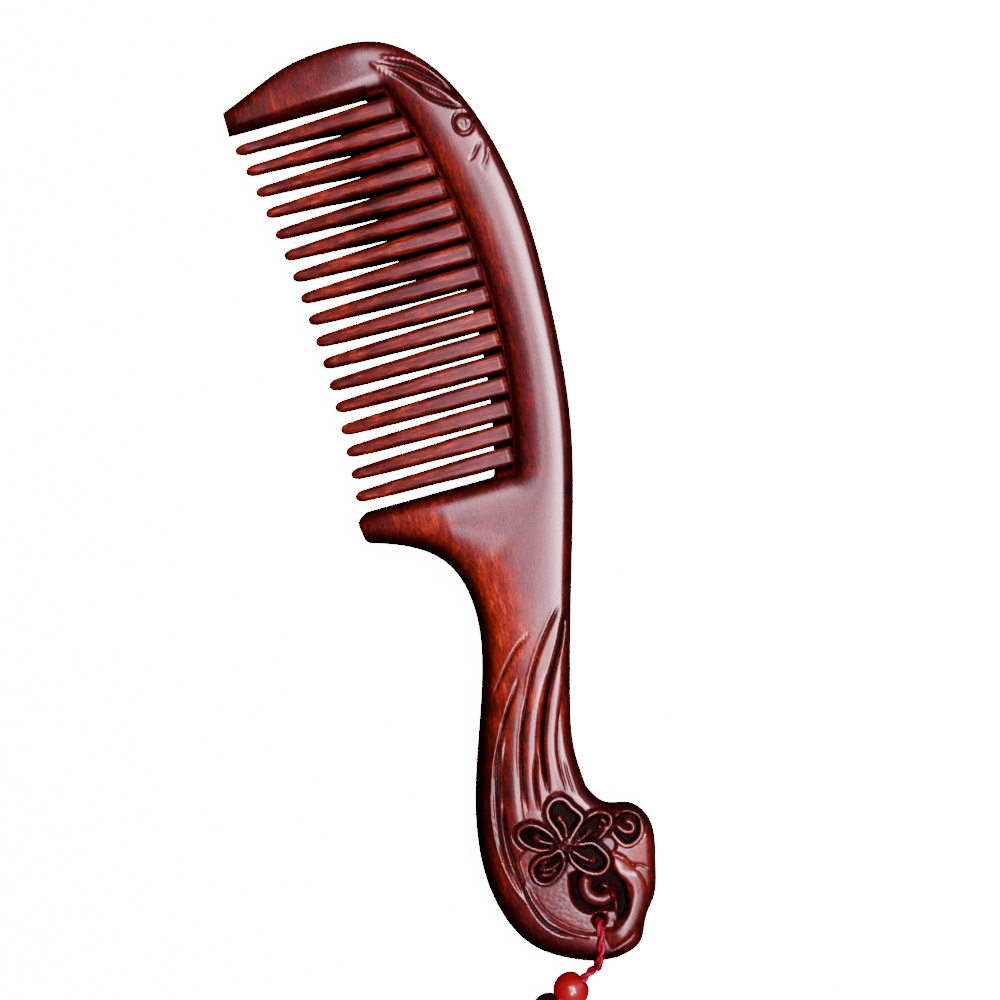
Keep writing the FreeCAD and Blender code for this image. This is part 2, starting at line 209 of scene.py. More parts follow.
def plain_height(x, y):
    """Height of the uncarved face over the middle plane, the distance to the edge, and the painted shade."""
    back = to_line(x, y, right_chain)[0]
    left = to_line(x, y, left_chain)[0]
    arms = np.minimum(to_line(x, y, lower_arm_chain)[0], to_line(x, y, upper_arm_chain)[0])
    nose = to_line(x, y, nose_chain)[0]
    tips = np.minimum(to_line(x, y, tip_chain)[0], to_line(x, y, smooth_line(lower_tip, 0.8))[0])
    bed = np.minimum(arms, nose)
    wide = back + np.minimum(left, bed)
    slope = np.clip(back / np.minimum(0.45 * wide, 8.0), 0, 1)
    by_back = section_from(back, np.minimum(0.5 * wide, BACK_ROUNDING)) * (1 - 0.15 * (1 - slope) ** 2)
    by_left = section_from(left, 1.35 * (left + np.minimum(back, bed)))
    by_arms = section_from(arms, np.minimum(arms + np.minimum(back, left), BED_ROUNDING))
    edge = np.minimum(np.minimum(np.minimum(back, left), arms), tips)
    rounded = np.sqrt(1 - (1 - np.clip(edge / EDGE_ROUNDING, 0, 1)) ** 2)
    height = half_thickness(x, y) * np.minimum(np.minimum(np.minimum(by_back, by_left), by_arms), rounded)

    into = np.hypot(x - bed_x0, y - bed_y0) - bed_r + NOSE  # distance from the nose, into the wood
    recess = (into < NOSE) & (y > ROW_LOW) & (y < ROW_TOP)
    rise = np.sqrt(np.clip(into - NOSE, 0, None) ** 2 + np.clip(y - ROW_TOP, 0, None) ** 2
                   + np.clip(ROW_LOW - y, 0, None) ** 2)  # distance from the recess
    foot = FOOT + FOOT_STEP * smooth_step(rise, LIP, LIP + 0.25)
    crown = foot + CROWN * (1 - (1 - np.clip((rise - LIP) / CROWN_REACH, 0, 1)) ** 2.0)
    ramp_up = NOSE_HALF + NOSE_RISE * np.clip(into / NOSE, 0, 1)
    reach = np.clip(CREASE * np.minimum(rise, edge) / 2.0, 0.02, CREASE)

    # painted shade: a dark band on the spine's foot just past the lip along the teeth's root line, and full
    # dark over the recess between the teeth
    foot_shade = 0.85 * smooth_step(rise, 0.8 * LIP, 1.1 * LIP) * (1 - smooth_step(rise, 0.8, 2.8))
    dark = np.where(recess, 1.0, foot_shade) * (back > 2)
    # painted shade along the left edge, the arms' inner edges and the back edge
    edge_shades = ((left, 0.96, 1.0, 4.6), (arms, 0.85, 0.0, 1.5), (back, 0.75, 0.2, 2.4))
    for distance, strength, low, high in edge_shades:
        dark = np.maximum(dark, strength * (1 - smooth_step(distance, low, high)))
    return np.where(recess, ramp_up, soft_min(height, crown, reach)), np.minimum(edge, nose), dark


# -------- the carving
EYE_X, EYE_Y, EYE_HEIGHT = 6.14, -0.77, 400.0
NECK_FACE, FLOWER_FACE, RIM_FACE, FIELD_FACE = 5.6, 4.8, 4.6, 4.2  # heights over the middle plane


class Carving:
    """Height, painted shade and roughness of the carved face at each point.

    What is cut is drawn on the board's middle plane, as an eye EYE_HEIGHT above it sees it. The
    height of the face that it lies on, over that plane, is set in face before it is drawn.
    """

    def __init__(self, x, y, height):
        self.x, self.y, self.h = x, y, height
        self.base = height.copy()
        self.face = 0.0
        # painted shade of each point, 0 to 1, which the material turns nearly black
        self.dark = np.zeros(x.shape)
        self.rough = np.zeros(x.shape)

    def lifted(self, points):
        """Moves drawn points from the middle plane up the lines of sight to the face."""
        k = 1 - self.face / EYE_HEIGHT
        return [(EYE_X + k * (x - EYE_X), EYE_Y + k * (y - EYE_Y)) for x, y in points]

    def near(self, line, margin):
        """Which points are in the line's box with a margin round it."""
        low, high = line.min(0) - margin, line.max(0) + margin
        return np.nonzero((self.x > low[0]) & (self.x < high[0]) & (self.y > low[1]) & (self.y < high[1]))[0]

    def groove(self, points, width, depth, taper=0.25, dark=0.8, skew=0.0):
        """A knife cut, painted dark as shade down its middle. skew moves its steep side: + is steep on the
        line's left.
        """
        line = smooth_line(self.lifted(points))
        at = self.near(line, width)
        d, side, along, _, _ = to_line(self.x[at], self.y[at], line)
        w = 0.5 * width * (1 + skew * side)
        fade = np.sqrt(smooth_step(along, 0, taper) * smooth_step(1 - along, 0, taper))
        shape = np.clip(1 - d / (w * (0.35 + 0.65 * fade)), 0, 1) * fade
        self.h[at] -= depth * shape
        # painted shade in the cut
        self.dark[at] = np.maximum(self.dark[at], dark * np.clip(shape * 1.9 - 0.25, 0, 1))

    def ridge(self, points, width, height, taper=0.15, power=2.0):
        """A rounded rib, which clears the painted shade on its top. A higher power makes its top flatter."""
        line = smooth_line(self.lifted(points))
        at = self.near(line, width)
        d, _, along, _, _ = to_line(self.x[at], self.y[at], line)
        fade = np.sqrt(smooth_step(along, 0, taper) * smooth_step(1 - along, 0, taper))
        shape = np.sqrt(np.clip(1 - (d / (0.5 * width)) ** power, 0, 1)) * fade
        self.h[at] += height * shape
        # clears the painted shade along the rib's top
        self.dark[at] *= 1 - 0.8 * np.clip(shape * 1.5, 0, 1)

    def ledge(self, points, drop, reach, side=1, taper=0.2):
        """Lowers the wood on one side of a line by drop, easing back over reach."""
        line = smooth_line(self.lifted(points))
        at = self.near(line, reach + 1)
        d, s, along, _, _ = to_line(self.x[at], self.y[at], line)
        signed = d * s * side
        fade = smooth_step(along, 0, taper) * smooth_step(1 - along, 0, taper)
        self.h[at] -= drop * fade * smooth_step(signed, -0.12, 0.25) * (1 - smooth_step(signed, 0.3, reach))

    def sink(self, points, depth, edge=0.5, rough=1.0, dark=0.0):
        """Sinks the field inside a closed line to a flat floor, paints that floor with painted shade of the
        given strength, and marks it for tool marks.
        """
        line = smooth_line(self.lifted(points + points[:1]))
        at = self.near(line, 1.0)
        x, y = self.x[at], self.y[at]
        d = to_line(x, y, line)[0] * np.where(inside(x, y, line[:-1]), 1, -1)
        w = smooth_step(d, -0.1, edge)
        floor = self.base[at] - depth
        self.h[at] = self.h[at] * (1 - w) + floor * w
        self.rough[at] = np.maximum(self.rough[at], rough * w)
        # painted shade on the sunk floor
        self.dark[at] = self.dark[at] * (1 - w) + dark * w

    def petal(self, points, rim, bowl, moat, width=0.4, moat_width=1.2):
        """A cupped petal with a thin raised rim, with painted shade inside and round its foot, and its rim
        left unshaded.
        """
        line = smooth_line(self.lifted(points + points[:1]), 0.25)
        at = self.near(line, moat_width + 0.6)
        x, y = self.x[at], self.y[at]
        d = to_line(x, y, line)[0] * np.where(inside(x, y, line[:-1]), 1, -1)
        base = self.base[at]
        around = smooth_step(d, -moat_width, -0.5)
        within = smooth_step(d, -0.4, -0.1)
        h = self.h[at] * (1 - around) + np.minimum(self.h[at], base - moat) * around
        h = h * (1 - within) + (base + rim - bowl * smooth_step(d, 0.05, 1.0)) * within
        lip = np.sqrt(np.clip(1 - (d / width) ** 4, 0, 1))
        h = np.where(lip > 0, np.maximum(h, base + rim - 0.45 + 0.45 * lip), h)
        self.h[at] = h
        # painted shade in the bowl and in the moat round the foot, cleared on the rim
        shade = np.maximum(around * (1 - within), smooth_step(d, 0.25, 0.6))
        shade = np.maximum(0.985 * shade, self.dark[at] * (1 - within))
        lip_lit = np.clip(1 - (d / (0.9 * width)) ** 2, 0, 1) ** 0.5
        self.dark[at] = np.where(d > -moat_width, shade * (1 - lip_lit), self.dark[at])
        self.rough[at] *= 1 - around

    def dot(self, x0, y0, radius, height):
        """A raised round bead of wood, which clears the painted shade on it."""
        x0, y0 = self.lifted([(x0, y0)])[0]
        d = np.hypot(self.x - x0, self.y - y0)
        shape = np.sqrt(np.clip(1 - (d / radius) ** 2, 0, 1))
        self.h += height * shape
        # clears the painted shade on the dot
        self.dark *= 1 - 0.9 * np.clip(2 * shape, 0, 1)

    def pit(self, x0, y0, radius, depth, dark):
        """A round hollow, with painted shade inside."""
        x0, y0 = self.lifted([(x0, y0)])[0]
        d = np.hypot(self.x - x0, self.y - y0)
        shape = 1 - smooth_step(d, radius * 0.6, radius)
        self.h -= depth * shape
        # painted shade inside the hollow
        self.dark = np.maximum(self.dark, dark * shape)


def carve(x, y, height):
    c = Carving(x, y, height)

    # ---- head: a long leaf, a bud and a tick
    c.face = NECK_FACE
    c.groove([(4.9, 89.1), (7.4, 88), (9.4, 86.2), (11, 84.4), (12.4, 82.5), (13.3, 81.2), (14.9, 79.8),
        (16.5, 78.7), (18.7, 77.5), (20.5, 76.6)], 1.3, 0.75, 0.2, 0.85, 0.35)
    c.groove([(6, 90.5), (8.7, 88.9), (11.9, 87.3), (14.2, 85.3), (16.5, 83.2), (18.7, 80.3), (20.3, 77.6)],
        2.0, 0.9, 0.3, 0.85, 0.2)
    c.ridge([(6.2, 91), (11.9, 88.9), (15.3, 86.2), (17.6, 83.2), (20.1, 79.4)], 0.8, 0.28)
    c.ridge([(4.4, 90.7), (6, 88.9), (9.6, 87.1), (11.9, 85), (14.2, 83.2), (16.5, 81.2), (19, 78.5)], 1.2,
        0.35)
    c.groove([(9.5, 86.6), (12.2, 84.2), (15.2, 81.6), (18.4, 78.7)], 0.5, 0.2, 0.4, 0.45)
    bud_x, bud_y = 19.2, 73.9
    turns = [math.radians(degrees) for degrees in range(20, 400, 20)]
    c.groove([(bud_x + 2.05 * math.cos(a), bud_y + 2.2 * math.sin(a)) for a in turns],
        0.75, 0.6, 0.05, 0.85, 0.2)
    c.dot(bud_x, bud_y, 1.75, 0.35)
    c.groove([(18.3, 74.3), (18.9, 73.2), (19.8, 73.0), (20.1, 73.9), (19.5, 74.5)], 0.6, 0.4, 0.3, 0.8)
    c.groove([(21.9, 69.5), (20.7, 68.6), (19.6, 67.2), (17.7, 66.1)], 0.7, 0.45, 0.3, 0.8, 0.3)
    c.groove([(22.6, 69.0), (22.3, 67.2), (20.6, 64.8), (19.2, 64.6)], 0.9, 0.3, 0.35, 0.4, 0.3)

    # ---- neck: leaves that run down into the flower
    c.ridge([(-1.0, -37.5), (-3.6, -44.5), (-6.0, -52), (-7.7, -60), (-8.3, -66), (-8.4, -72)], 4.0, 0.5,
        0.3)
    c.ridge([(5.0, -35.5), (2.0, -41.5), (-0.4, -47), (-2.1, -52.5), (-3.6, -58.5), (-4.0, -62.5)], 2.8,
        0.45, 0.3)
    c.ridge([(10.2, -33.5), (7.2, -39.5), (4.6, -45.5), (2.7, -51), (1.9, -56.5), (1.6, -61)], 3.2, 0.5, 0.3)
    c.groove([(4.9, -27.9), (1.4, -30.3), (-1.3, -33), (-4.1, -36.4), (-6.9, -39.8)], 0.9, 0.55, 0.3, 0.9,
        0.3)
    c.groove([(0.5, -35.6), (-2.4, -40), (-4.4, -43), (-6.2, -46.1), (-8.0, -50.4), (-9.4, -54.8),
        (-10.8, -60.4), (-11.6, -65.0), (-12.0, -70), (-11.7, -74), (-10.7, -78.5)], 1.1, 0.8, 0.2, 0.97)
    c.ridge([(-5.4, -44.0), (-6.6, -46.1), (-8.6, -49.4), (-10.5, -54.2), (-12, -58.9), (-13.0, -65),
        (-13.1, -70), (-12.6, -74), (-11.5, -78), (-10.4, -80.6)], 0.75, 0.34)
    c.ridge([(-5.2, -45), (-6.9, -48.9), (-8.6, -53.3), (-9.9, -58.9), (-11.1, -65), (-11.4, -70),
        (-11, -73.75), (-10.2, -78.0)], 0.85, 0.34)
    c.groove([(11.9, -24.2), (8.1, -28.6), (5.6, -31.9), (2.8, -36.4), (0.1, -41.9), (-2.2, -47.2),
        (-3.8, -52.8), (-4.9, -58.9), (-5.2, -62.5)], 0.85, 0.7, 0.12, 0.97, 0.2)
    c.ridge([(11.4, -24.0), (7.6, -28.3), (5.1, -31.5), (2.2, -36.2), (-0.5, -41.8), (-2.8, -47.1),
        (-4.5, -52.8), (-5.6, -58.9)], 0.45, 0.14)
    c.groove([(13.4, -25.0), (12.2, -27.0), (10.3, -30.8), (7, -36.4), (4.2, -41.7), (2.3, -46.4),
        (0.9, -51.1), (0.1, -56.1), (-0.3, -60.0)], 1.45, 1.0, 0.12, 0.98, 0.15)
    c.groove([(0.1, -51.1), (-1.6, -55), (-2.4, -58.9), (-2.9, -63.5)], 1.1, 0.8, 0.3, 0.95)
    c.groove([(8.7, -39.2), (7, -43), (5.3, -47.2), (3.9, -51.9), (3.4, -56.1), (3.6, -61.5)], 0.7, 0.4, 0.3,
        0.8)
    c.groove([(6.7, -50.8), (6.1, -55.6), (6.4, -58.9), (7.2, -62.4)], 0.7, 0.35, 0.3, 0.75)
    c.groove([(4.7, -54.0), (4.5, -58.0), (4.9, -62.0)], 0.6, 0.25, 0.3, 0.6)

    # ---- handle: sunk fields and the rim round them
    c.face = RIM_FACE
    c.sink([(-10.1, -71.5), (-10.0, -75), (-9.6, -79), (-8.6, -82.5), (-7.1, -85.0), (-4.6, -87.4),
        (-1.9, -89.0), (0.3, -89.9), (2.4, -90.3), (4.8, -89.4), (7.2, -87.2), (8.6, -84), (9.2, -80.4),
        (8.6, -76.4), (8.2, -73.0), (6, -69), (0, -68), (-5, -68.8), (-8.4, -69.8)], 1.25, 0.7, 1.0, 0.12)
    c.groove([(-9.5, -60), (-10.5, -65), (-10.6, -70), (-10.2, -75), (-9.5, -80), (-8, -84.6), (-5.4, -87.6),
        (-2.6, -89.4)], 1.3, 0.8, 0.12, 0.9)
    c.face = FIELD_FACE
    c.ridge([(-9.3, -76.5), (-8.95, -79.75), (-7.7, -82.7), (-5.7, -85.6), (-3.1, -88.0), (0.25, -89.95)],
        0.85, 0.5, 0.15)
    c.groove([(-8.2, -78.6), (-7.7, -81.2), (-6.2, -84.0), (-3.9, -86.4), (-1.0, -88.5), (1.0, -89.3)], 0.5,
        0.25, 0.2, 0.75)

    # ---- scrolls on the right
    c.face = FLOWER_FACE
    c.sink([(7.2, -72.4), (8.4, -71.2), (9.9, -71.6), (10.4, -73.0), (9.8, -74.4), (8.4, -74.8),
        (7.3, -74.0)], 0.8, 0.5, 1.0, 0.25)
    c.petal([(10.75, -68), (12, -67.4), (13.5, -67.1), (15, -67.75), (16.2, -69), (16.3, -70.75),
        (15.6, -72.7), (14.0, -74.0), (12.0, -74.2), (10.6, -72.6), (9.9, -70.6), (10.1, -68.9)], 0.1, 1.15,
        0.2, 0.5, 0.5)
    c.ridge([(11.1, -69.3), (11.9, -70.75), (13, -71.6), (14.1, -71.6), (14.4, -70.6), (13.75, -69.6),
        (12.75, -69.25)], 1.1, 0.85, 0.1)
    c.groove([(9.75, -74.75), (11, -76.5), (12, -78), (13.75, -78.75), (15.25, -80.25)], 0.8, 0.5, 0.3, 0.7,
        0.3)
    c.ledge([(9.2, -74.0), (10.6, -76.2), (11.6, -77.6), (13.4, -78.4)], 0.45, 2.5, -1)

    # ---- the comma below the flower, and the deep wood round it, painted nearly black as shade
    c.face = FIELD_FACE
    c.sink([(-0.9, -76.8), (-1.5, -79.5), (-1.6, -82.3), (-0.4, -84.7), (1.8, -86.0), (4.8, -86.2),
        (6.0, -88.6), (8.6, -87.4), (9.9, -84.0), (9.9, -81), (8.6, -78.4), (7.4, -77.2), (4.0, -77.9),
        (1.5, -76.4)], 2.3, 0.7, 0.0, 0.985)
    c.ridge([(3.4, -77.8), (2.3, -78.8), (1.9, -80), (2.1, -81.7), (3.2, -82.9), (4.8, -83.4), (6.2, -82.7),
        (6.1, -81.4)], 2.9, 2.2, 0.12, 2.4)
    c.ridge([(6.5, -81.6), (6.95, -83.2), (6.9, -85.0), (6.2, -87.0), (5.2, -88.8)], 1.0, 1.7, 0.12)
    c.ridge([(4.9, -80.7), (5.8, -81.0), (6.5, -82.0)], 0.7, 0.7, 0.2)
    c.pit(4.6, -81.6, 0.9, 0.5, 0.8)
    c.sink([(3.4, -86.4), (5.6, -86.0), (6.6, -86.0), (6.3, -88.4), (5.2, -89.8), (3.9, -89.4)], 1.5, 0.5,
        1.0, 0.2)

    # ---- the thick lit rib down the right side
    c.ridge([(7.7, -76.2), (9.4, -77.6), (11, -79.6), (12, -82), (11.8, -84.2), (10.9, -86.2), (9.75, -88.1),
        (8, -89.8), (5.75, -91.1), (3.2, -91.8)], 3.3, 0.7, 0.15, 3.5)

    # ---- the flower
    c.face = FLOWER_FACE
    up = [(-0.5, -67.6), (-1.4, -65.3), (-1.55, -63.75), (-0.85, -62.25), (0.4, -61.4), (1.75, -61.4),
        (2.85, -62.25), (3.6, -63.75), (4.6, -65.1), (5.0, -66.2), (3.9, -67.6), (2.2, -69.2), (0.6, -70.4)]
    upper_right = [(2.6, -69.4), (3.5, -68.0), (5, -66.9), (7, -66.2), (8.75, -66.1), (9.85, -66.6),
        (10.5, -67.75), (10.3, -68.85), (9, -70), (7.5, -71), (5.6, -71.9), (3.0, -72.0), (1.2, -71.2)]
    upper_left = [(-0.75, -69.9), (-2.2, -67.6), (-3.6, -66.0), (-5, -65.1), (-6.6, -64.9), (-7.9, -65.4),
        (-8.35, -66.75), (-7.75, -68.25), (-6.5, -69.5), (-5, -70.4), (-3, -70.9), (-1, -71)]
    lower_left = [(-0.6, -73.6), (-1.5, -75.25), (-3, -76.5), (-4.6, -77.3), (-6.1, -77.25), (-7.2, -76.35),
        (-7.6, -75), (-7.35, -73.5), (-6.25, -72.4), (-4.75, -71.9), (-3, -71.9), (-1.3, -71.4)]
    lower_right = [(0.2, -72.2), (0.6, -74.0), (1.25, -75.3), (2.1, -76.4), (3.5, -77.5), (5.25, -78.1),
        (6.8, -77.6), (7.65, -76.6), (7.85, -75.4), (7.35, -74.1), (6.6, -72.8), (5.6, -71.8), (3.4, -71.4),
        (1.4, -71.2)]
    c.petal(upper_right, 0.15, 1.25, 0.9, 0.36)
    c.petal(lower_right, 0.25, 1.25, 1.2, 0.42)
    c.petal(upper_left, 0.3, 1.35, 1.2, 0.42)
    c.petal(lower_left, 0.35, 1.3, 1.3, 0.42)
    c.petal(up, 0.35, 1.35, 1.2, 0.5)
    for rib, (dot_x, dot_y) in (
        ([(0.75, -65.6), (1.25, -67.25), (1.0, -68.75), (0.3, -70.4)], (0.55, -65.3)),
        ([(-5.0, -68.2), (-3.75, -69.1), (-2, -69.9), (-0.6, -70.6)], (-5.0, -68.0)),
        ([(-5.4, -74.5), (-4, -74.7), (-2.25, -74.1), (-0.75, -73.0)], (-5.4, -74.4)),
        ([(4.6, -75.4), (3.25, -74.4), (1.75, -72.75), (0.6, -71.6)], (4.7, -75.3)),
        ([(5.5, -69.5), (4.0, -70.3), (2.2, -70.8), (0.6, -71.0)], (5.5, -69.4)),
    ):
        c.ridge(rib, 0.9, 0.75, 0.1)
        c.dot(dot_x, dot_y, 0.62, 0.55)
    c.ridge([(8.2, -67.7), (9.1, -68.3), (8.9, -69.2), (8.0, -69.3), (7.7, -68.6)], 0.7, 0.75, 0.1)
    c.ridge([(6.0, -70.6), (7.8, -69.9), (9.4, -68.9)], 0.6, 0.5, 0.2)
    c.ridge([(-6.3, -75.4), (-4.6, -75.9), (-2.8, -75.3)], 0.7, 0.3, 0.2)
    c.ridge([(-3.2, -72.9), (-4.4, -73.1), (-5.6, -73.5)], 0.6, 0.35, 0.2)
    c.dot(0.0, -71.0, 0.8, 0.2)

    # ---- the hanging hole, painted black inside as shade
    c.face = 0.0
    c.pit(2.892, -86.475, 1.75, 1.2, 1.0)
    return c


# -------- the frame's mesh
FINE = 0.28  # spacing of the grid lines where the carving is
MARK_DEPTH = 0.010  # scale of the tool marks' height
LEAST_WOOD = 1.2  # the carving leaves at least this half thickness
# The waves that make up the tool marks: direction in degrees, length, shift
TOOL_WAVES = ((20, 1.9, 0.3), (75, 1.4, 1.7), (-35, 1.15, 4.1), (50, 0.9, 2.6), (-80, 2.6, 5.2))
WELD = 0.07  # points nearer to each other than this are joined
# Where the wood's warm patches are: x, y, reach in x, reach in y, strength
WARM_PATCHES = ((-1, -27, 9, 20, 1.0), (-9, 0, 8, 7, 0.5), (-9, 84, 12, 4, 0.45), (14, 56, 5, 16, 0.35),
                (13, -75, 4, 5, 0.55))


def smooth_mesh(name, vertices, faces):
    mesh = bpy.data.meshes.new(name)
    mesh.from_pydata(vertices, [], faces)
    mesh.polygons.foreach_set("use_smooth", [True] * len(mesh.polygons))
    mesh.update()
    return mesh


def point_values(mesh, name, values):
    """Stores a number for each vertex, for the material to read."""
    layer = mesh.attributes.new(name, "FLOAT", "POINT")
    layer.data.foreach_set("value", np.array(values, np.float32))


def grid_lines(stops):
    """Grid lines through the stops [(from, to, spacing in steps of FINE)]."""
    parts = []
    for low, high, steps in stops:
        count = max(1, round((high - low) / (steps * FINE)))
        parts.append(np.linspace(low, high, count + 1)[:-1])
    return np.concatenate(parts + [[stops[-1][1]]])


def tool_marks(x, y):
    """Shallow uneven facets left by a small gouge."""
    waves = np.zeros(x.shape)
    for turn, length, shift in TOOL_WAVES:
        a = math.radians(turn)
        u = (x * math.cos(a) + y * math.sin(a)) * 2 * math.pi / length
        v = (y * math.cos(a) - x * math.sin(a)) * 2 * math.pi / (length * 2.3)
        waves += np.sin(u + 1.4 * np.sin(v + shift) + shift)
    return waves / 2.0


def frame_mesh():
    """The carved board. Grid points inside the outline are joined to the points where grid lines cross it."""
    xs = grid_lines([(-27.3, -17.3, 2.4), (-17.3, -13.0, 1.0), (-13.0, 17.5, 0.72), (17.5, 27.1, 1.2)])
    ys = grid_lines([(-95.7, -60.0, 0.72), (-60.0, -23.0, 1.6), (-23.0, 64.0, 3.2), (64.0, 95.9, 1.5)])
    gx, gy = np.meshgrid(xs + 0.0137, ys + 0.0091)  # shifted, to keep grid points off the outline
    flat_x, flat_y = gx.ravel(), gy.ravel()
    closed = np.vstack([ring, ring[:1]])
    d, _, _, near_x, near_y = to_line(flat_x, flat_y, closed)
    within = inside(flat_x, flat_y, ring)
    signed = np.where(within, d, -d).reshape(gx.shape)
    ny, nx = gx.shape

    number = np.full(gx.shape, -1)
    keep = signed > 0
    number[keep] = np.arange(keep.sum())
    kept = keep.ravel()
    move = np.where(d < EDGE, d / EDGE, 1.0)
    px = near_x + (flat_x - near_x) * move
    py = near_y + (flat_y - near_y) * move
    points = [np.stack([px[kept], py[kept]], axis=1)]
    count = int(keep.sum())

    across = np.full((ny, nx - 1), -1)
    crossing = keep[:, :-1] != keep[:, 1:]
    a, b = signed[:, :-1][crossing], signed[:, 1:][crossing]
    w = a / (a - b)
    x0, x1 = gx[:, :-1][crossing], gx[:, 1:][crossing]
    points.append(np.stack([x0 + (x1 - x0) * w, gy[:, :-1][crossing]], axis=1))
    across[crossing] = count + np.arange(crossing.sum())
    count += int(crossing.sum())

    along = np.full((ny - 1, nx), -1)
    crossing = keep[:-1] != keep[1:]
    a, b = signed[:-1][crossing], signed[1:][crossing]
    w = a / (a - b)
    y0, y1 = gy[:-1][crossing], gy[1:][crossing]
    points.append(np.stack([gx[:-1][crossing], y0 + (y1 - y0) * w], axis=1))
    along[crossing] = count + np.arange(crossing.sum())
    count += int(crossing.sum())

    p = np.vstack(points)
    full = keep[:-1, :-1] & keep[:-1, 1:] & keep[1:, 1:] & keep[1:, :-1]
    quads = np.stack([number[:-1, :-1][full], number[:-1, 1:][full], number[1:, 1:][full],
                      number[1:, :-1][full]], axis=1)
    faces = [tuple(q) for q in quads.tolist()]
    some = keep[:-1, :-1] | keep[:-1, 1:] | keep[1:, 1:] | keep[1:, :-1]
    rim_edges = []
    for j, i in np.argwhere(some & ~full):
        walk = []
        for corner, edge in (((j, i), across[j, i]), ((j, i + 1), along[j, i + 1]),
                             ((j + 1, i + 1), across[j + 1, i]), ((j + 1, i), along[j, i])):
            if number[corner] >= 0:
                walk.append((int(number[corner]), False))
            if edge >= 0:
                walk.append((int(edge), True))
        loop = [v for v, _ in walk]
        if len(loop) > 2:
            faces.append(tuple(loop))
        for k in range(len(walk)):
            (v0, e0), (v1, e1) = walk[k], walk[(k + 1) % len(walk)]
            if e0 and e1 and len(walk) > 2:
                rim_edges.append((v0, v1))

    x, y = p[:, 0], p[:, 1]
    height, edge, in_shade = plain_height(x, y)
    height = np.maximum(height, WALL)
    c = carve(x, y, height)
    # the carving's painted shade joined with the board's painted shade along its edges
    c.dark = np.maximum(c.dark, in_shade)
    c.h += c.rough * MARK_DEPTH * tool_marks(x, y)
    h = np.maximum(c.h, np.minimum(height, LEAST_WOOD))
    h = np.where(edge < 0.02, np.minimum(h, height), h)
    n = len(p)
    top = np.stack([x, y, MID + h], axis=1)
    low = np.stack([x, y, MID - h], axis=1)
    vertices = np.vstack([top, low]) * MM
    all_faces = faces + [tuple(n + v for v in reversed(f)) for f in faces]
    all_faces += [(b, a, n + a, n + b) for a, b in rim_edges]

    mesh = smooth_mesh("comb_frame_wood", vertices.tolist(), all_faces)
    # 'dark' is the painted shade, for the material to read
    for name, values in (("dark", c.dark), ("rough", c.rough)):
        point_values(mesh, name, np.concatenate([values, values]))
    joined = bmesh.new()
    joined.from_mesh(mesh)
    bmesh.ops.remove_doubles(joined, verts=joined.verts, dist=WELD * MM)
    joined.to_mesh(mesh)
    joined.free()
    mesh.validate()
    mesh.update()
    place = np.zeros(len(mesh.vertices) * 3)
    mesh.vertices.foreach_get("co", place)
    place = place.reshape(-1, 3) / MM
    warmth = np.zeros(len(place))
    for patch_x, patch_y, reach_x, reach_y, strength in WARM_PATCHES:
        away = ((place[:, 0] - patch_x) / reach_x) ** 2 + ((place[:, 1] - patch_y) / reach_y) ** 2
        warmth = np.maximum(warmth, strength * np.exp(-away))
    point_values(mesh, "warmth", 1.1 * warmth)
    return mesh


# -------- the teeth
TEETH = 17
HALF_TOOTH, SIDE_GAP = 1.55, 1.65  # half a tooth of the CAD, and the gap at each end of the row
ROW_FIRST = ROW_TOP - SIDE_GAP - HALF_TOOTH
ROW_LAST = ROW_LOW + SIDE_GAP + HALF_TOOTH
PITCH = (ROW_FIRST - ROW_LAST) / (TEETH - 1)
BEND = [0.3, -0.5, 0.4, -0.2, 0.6, -0.4, 0.2, -0.6, 0.5, -0.3, 0.1, 0.4, -0.5, 0.3, -0.1, 0.2, -0.3]
WIDTH_AT = ((-21, -18, -14, -7, -3, -1.7, 1.2, 14), (2.35, 2.6, 3.0, 3.3, 3.5, 3.65, 3.85, 3.9))
THICK_AT = ((-21, -18, -14, -10, -6.5, -1.7, 3, 14), (3.1, 3.7, 4.8, 5.8, 6.4, 7.1, 7.45, 7.6))
TIP_ROUND = 2.4  # length of a tooth's rounded tip
TIP_X = -20.7  # how far the shortest tooth reaches
TIP_BOW, TIP_BOW_Y = 250.0, 28.0  # the tips lie on an arc of this radius, which turns at this y
WIDER, THICKER, LOWER, ROUNDER = 0.75, 1.2, 0.6, 1.6  # what the stout teeth gain near the spine


